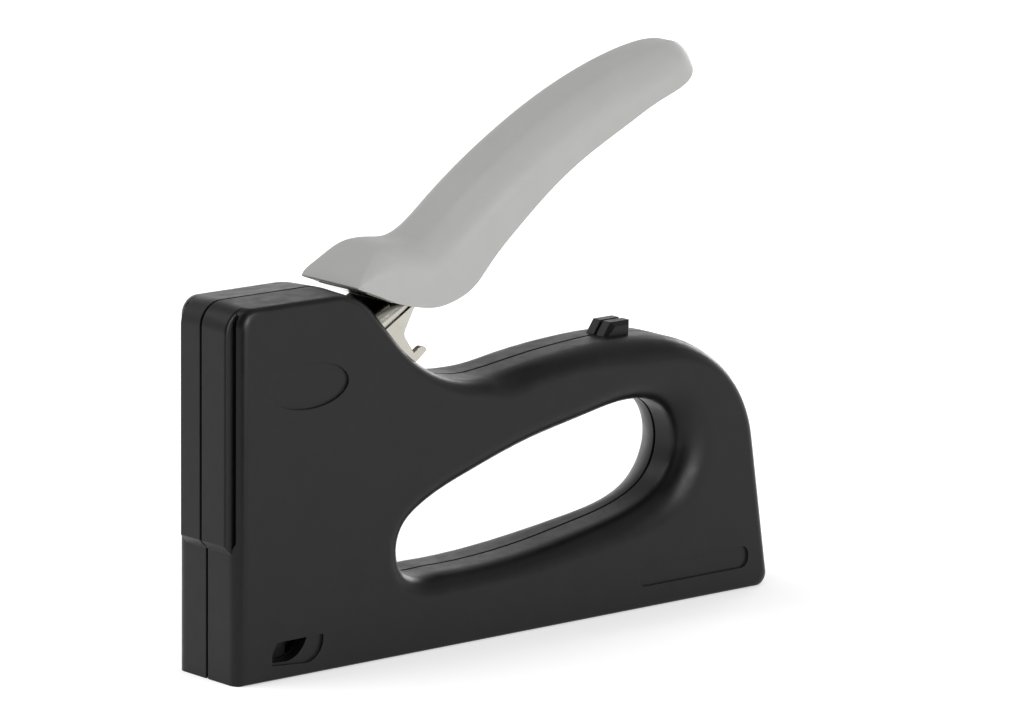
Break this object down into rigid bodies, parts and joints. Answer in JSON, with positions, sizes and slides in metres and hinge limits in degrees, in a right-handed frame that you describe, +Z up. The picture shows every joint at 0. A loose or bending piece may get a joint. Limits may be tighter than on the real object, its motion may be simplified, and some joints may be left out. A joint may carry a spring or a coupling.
{
  "type": "staple gun",
  "caption": "Hand staple gun with a dark moulded body around a finger opening, a raised grey squeeze handle on a plated lever, a sprung striker and a slide-out magazine.",
  "frame": {"origin": "where staples leave the nose: the driver blade's middle plane, on the base plane and the parting plane", "axes": "+X from the nose to the rear, +Y to the tool's left, +Z up from the base"},
  "size_m": [0.1731, 0.024, 0.1407],
  "materials": {
    "casing_plastic": "satin, fine grain",
    "handle_plastic": "satin",
    "plated_steel": "bright plated",
    "fastener_steel": "satin",
    "dark_steel": "hardened, satin",
    "spring_steel": "oiled",
    "inner_plastic": "matt",
    "bumper_rubber": "matt"
  },
  "bodies": {
    "casing": {"right_body_shell": "casing_plastic", "left_body_shell": "casing_plastic", "body_screws": "fastener_steel", "nose_plate": "plated_steel", "magazine_channel": "dark_steel", "lever_pivot_pin": "fastener_steel", "pivot_sleeve": "fastener_steel", "striker_bumper": "bumper_rubber", "spring_seat": "inner_plastic", "main_spring": "spring_steel", "lever_return_spring": "spring_steel", "catch_spring": "spring_steel"},
    "lever": {"lever_channel": "plated_steel", "handle_grip": "handle_plastic", "handle_screws": "fastener_steel", "lift_pin": "fastener_steel"},
    "striker": {"hammer": "dark_steel", "driver_blade": "dark_steel", "blade_rivets": "fastener_steel"},
    "drawer": {"staple_rail": "dark_steel", "magazine_knob": "casing_plastic", "knob_rivets": "fastener_steel", "guide_rod": "fastener_steel", "pusher_spring": "spring_steel"},
    "pusher": {"staple_pusher": "casing_plastic"}
  },
  "joints": [
    {"name": "handle_squeeze", "type": "hinge", "parent": "casing", "child": "lever", "pos_m": [0.035, 0, 0.072], "axis": [0, 1, 0], "range_deg": [0, 30], "stiffness_Nm_per_rad": 1.5, "springref_deg": -22.92},
    {"name": "hammer_lift", "type": "slide", "parent": "casing", "child": "striker", "axis": [0, 0, 1], "range_m": [0, 0.0115], "deforming": ["main_spring"]},
    {"name": "magazine_slide", "type": "slide", "parent": "casing", "child": "drawer", "axis": [1, 0, 0], "range_m": [0, 0.1]},
    {"name": "pusher_slide", "type": "slide", "parent": "drawer", "child": "pusher", "axis": [1, 0, 0], "range_m": [0, 0.09], "stiffness_N_per_m": 20, "springref_m": -0.05, "deforming": ["pusher_spring"]}
  ],
  "couplings": [
    {"joint": "hammer_lift", "follows": "handle_squeeze", "m_per_rad": 0.02175}
  ]
}
